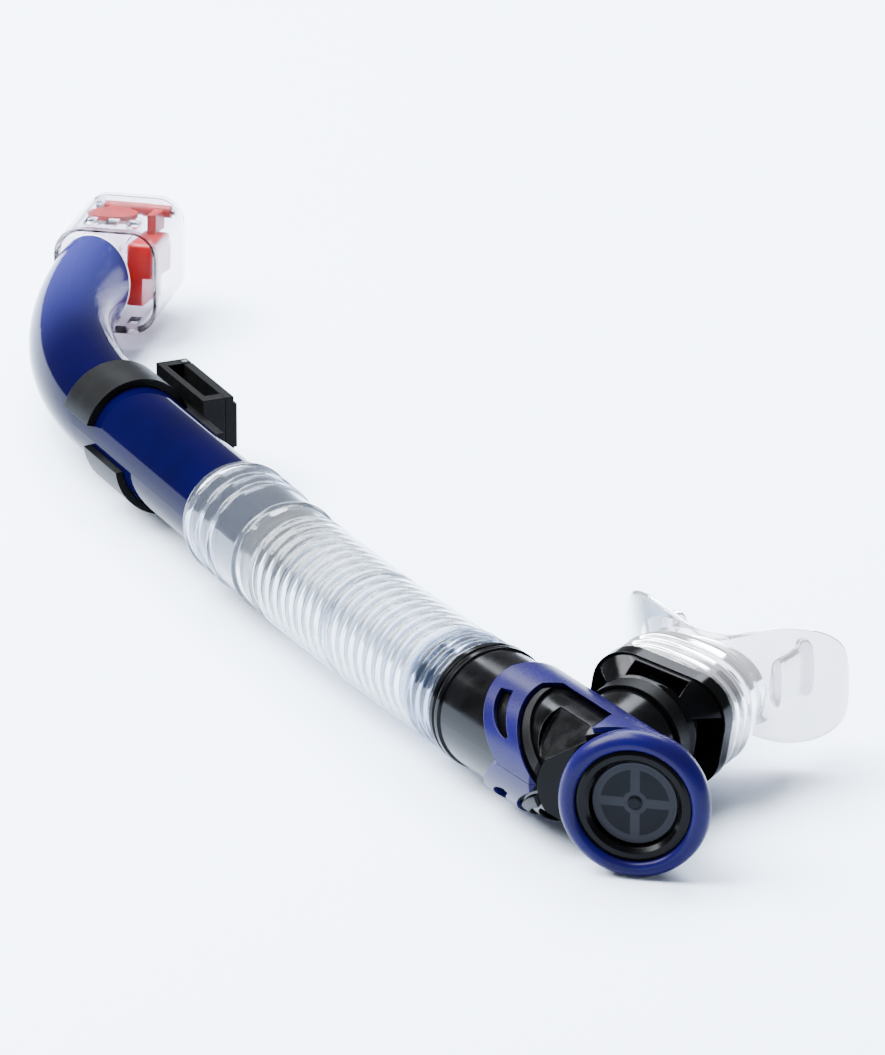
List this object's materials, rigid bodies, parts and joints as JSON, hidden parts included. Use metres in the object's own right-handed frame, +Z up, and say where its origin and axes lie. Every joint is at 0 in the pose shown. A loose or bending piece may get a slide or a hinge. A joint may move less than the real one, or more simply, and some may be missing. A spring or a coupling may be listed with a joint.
{
  "type": "snorkel tube",
  "caption": "Dry snorkel with a curved barrel, clear float-valve top, corrugated hose, purge chamber, strap keeper and swivelling mouthpiece.",
  "frame": {"origin": "on the resting plane, under the middle of the whole snorkel", "axes": "+Y along the straight barrel from the purge end to the dry top, +X the side the mouthpiece and the curved top turn to, +Z up as it lies"},
  "size_m": [0.108, 0.4395, 0.0425],
  "materials": {
    "blue_barrel": "translucent deep blue",
    "blue_gloss": "gloss blue",
    "clear_plastic": "clear polycarbonate",
    "red_plastic": "gloss red",
    "soft_seal": "soft white silicone",
    "black_plastic": "gloss black",
    "black_satin": "satin black",
    "black_rubber": "soft black",
    "clear_silicone": "clear silicone",
    "valve_silicone": "translucent grey silicone",
    "pin_steel": "bright steel"
  },
  "bodies": {
    "barrel": {"barrel_tube": "blue_barrel", "top_gasket": "soft_seal", "core_insert": "red_plastic", "top_base": "clear_plastic", "top_hood": "clear_plastic", "hinge_pin": "pin_steel"},
    "flap": {"float_lever": "red_plastic", "float": "red_plastic", "flap_plate": "red_plastic", "flap_seal": "soft_seal"},
    "keeper": {"keeper_band": "black_satin", "keeper_bracket": "black_satin", "gate_pin": "pin_steel"},
    "gate": {"keeper_gate": "black_satin"},
    "hose": {"flex_hose": "clear_silicone"},
    "chamber": {"neck_collar": "black_plastic", "chamber_body": "black_plastic", "cover_top": "blue_gloss", "cover_bottom": "blue_gloss", "grip_top": "black_satin", "grip_bottom": "black_satin", "purge_bezel": "blue_gloss", "purge_retainer": "black_plastic", "purge_seat": "black_satin", "purge_o_ring": "black_rubber", "swivel_collar": "black_satin"},
    "valve": {"purge_diaphragm": "valve_silicone"},
    "mouthpiece": {"branch_connector": "black_plastic", "swivel_o_ring": "black_rubber", "mouthpiece": "clear_silicone"}
  },
  "joints": [
    {"name": "flap_hinge", "type": "hinge", "parent": "barrel", "child": "flap", "pos_m": [0.01353, 0.21099, 0.02828], "axis": [0.7986, -0.6018, 0], "range_deg": [0, 8]},
    {"name": "keeper_slide", "type": "slide", "parent": "barrel", "child": "keeper", "axis": [0, 1, 0], "range_m": [-0.03, 0]},
    {"name": "gate_hinge", "type": "hinge", "parent": "keeper", "child": "gate", "pos_m": [-0.01611, 0.09532, 0.0196], "axis": [0, 0, 1], "range_deg": [0, 35]},
    {"name": "hose_bend", "type": "hinge", "parent": "barrel", "child": "hose", "pos_m": [-0.03844, -0.05402, 0.0186], "axis": [0, 0, 1], "range_deg": [-30, 30], "stiffness_Nm_per_rad": 1.2},
    {"name": "hose_sway", "type": "hinge", "parent": "hose", "child": "chamber", "pos_m": [-0.03592, -0.10306, 0.0186], "axis": [1, 0, 0], "range_deg": [-25, 25], "stiffness_Nm_per_rad": 1.2, "deforming": ["flex_hose"]},
    {"name": "valve_lift", "type": "slide", "parent": "chamber", "child": "valve", "axis": [-0.6004, -0.7997, 0], "range_m": [0, 0.0012], "stiffness_N_per_m": 60, "springref_m": -0.0003},
    {"name": "mouthpiece_swivel", "type": "hinge", "parent": "chamber", "child": "mouthpiece", "pos_m": [-0.0118, -0.17268, 0.01965], "axis": [0.8079, 0.587, 0.0523], "range_deg": [-180, 180]}
  ]
}
